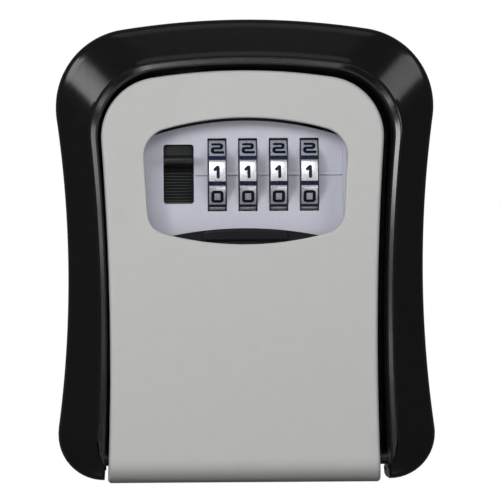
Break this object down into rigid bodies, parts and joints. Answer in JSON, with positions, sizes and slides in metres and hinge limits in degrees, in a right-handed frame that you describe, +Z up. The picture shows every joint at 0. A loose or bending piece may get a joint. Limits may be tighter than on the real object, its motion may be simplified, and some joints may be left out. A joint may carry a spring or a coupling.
{
  "type": "key lock box",
  "caption": "Wall-mounted key safe with a bowed black surround, a grey drop-down door, a window of number dials, a thumb slider and a sliding shutter.",
  "frame": {"origin": "on the wall plane, at the middle of the height and width", "axes": "+X to the right as seen from the front, +Y into the wall, +Z up"},
  "size_m": [0.0948, 0.04, 0.1161],
  "materials": {
    "surround": "satin black moulded plastic",
    "housing": "fine grained black plastic",
    "seal": "matt black rubber",
    "steel": "zinc plated",
    "dark_steel": "steel with a satin black coat",
    "door_paint": "fine textured light grey powder coat",
    "panel_plastic": "semi gloss lilac grey",
    "mechanism_plastic": "matt black",
    "wheel_plastic": "semi gloss black",
    "digit_plate": "satin silver with dark digits",
    "sleeve_plastic": "natural acetal",
    "slider_plastic": "semi gloss black",
    "shutter_plastic": "semi gloss black"
  },
  "bodies": {
    "housing": {"rear_housing": "housing", "surround_frame": "surround", "weather_seal": "seal", "frame_screws": "steel", "strike_plate": "dark_steel", "strike_rivets": "dark_steel", "hinge_pin": "dark_steel"},
    "door": {"door_shell": "door_paint", "dial_panel": "panel_plastic", "lock_cover": "mechanism_plastic", "cover_screws": "steel", "shutter_track": "mechanism_plastic", "track_screws": "steel", "dial_shaft": "steel", "shaft_clips": "steel", "dial_spacers": "sleeve_plastic", "detent_spring": "steel", "latch_spring": "steel"},
    "dial_1": {"dial_wheel_1": "wheel_plastic", "digit_plates_1": "digit_plate", "code_sleeve_1": "sleeve_plastic"},
    "dial_2": {"dial_wheel_2": "wheel_plastic", "digit_plates_2": "digit_plate", "code_sleeve_2": "sleeve_plastic"},
    "dial_3": {"dial_wheel_3": "wheel_plastic", "digit_plates_3": "digit_plate", "code_sleeve_3": "sleeve_plastic"},
    "dial_4": {"dial_wheel_4": "wheel_plastic", "digit_plates_4": "digit_plate", "code_sleeve_4": "sleeve_plastic"},
    "slider": {"open_slider": "slider_plastic", "latch_bolt": "dark_steel", "gate_fence": "sleeve_plastic", "slider_screws": "steel"},
    "reset": {"reset_lever": "sleeve_plastic"},
    "shutter": {"shutter": "shutter_plastic"}
  },
  "joints": [
    {"name": "door_hinge", "type": "hinge", "parent": "housing", "child": "door", "pos_m": [0, -0.0328, -0.052], "axis": [1, 0, 0], "range_deg": [0, 160]},
    {"name": "dial_1_spin", "type": "hinge", "parent": "door", "child": "dial_1", "pos_m": [-0.00705, -0.025, 0.01915], "axis": [1, 0, 0], "continuous": true},
    {"name": "dial_2_spin", "type": "hinge", "parent": "door", "child": "dial_2", "pos_m": [0.00066, -0.025, 0.01915], "axis": [1, 0, 0], "continuous": true},
    {"name": "dial_3_spin", "type": "hinge", "parent": "door", "child": "dial_3", "pos_m": [0.00837, -0.025, 0.01915], "axis": [1, 0, 0], "continuous": true},
    {"name": "dial_4_spin", "type": "hinge", "parent": "door", "child": "dial_4", "pos_m": [0.01608, -0.025, 0.01915], "axis": [1, 0, 0], "continuous": true},
    {"name": "open_slide", "type": "slide", "parent": "door", "child": "slider", "axis": [0, 0, 1], "range_m": [-0.004, 0], "stiffness_N_per_m": 300, "springref_m": 0.006, "deforming": ["latch_spring"]},
    {"name": "reset_slide", "type": "slide", "parent": "door", "child": "reset", "axis": [1, 0, 0], "range_m": [0, 0.005]},
    {"name": "shutter_slide", "type": "slide", "parent": "door", "child": "shutter", "axis": [0, 0, 1], "range_m": [0, 0.027]}
  ]
}
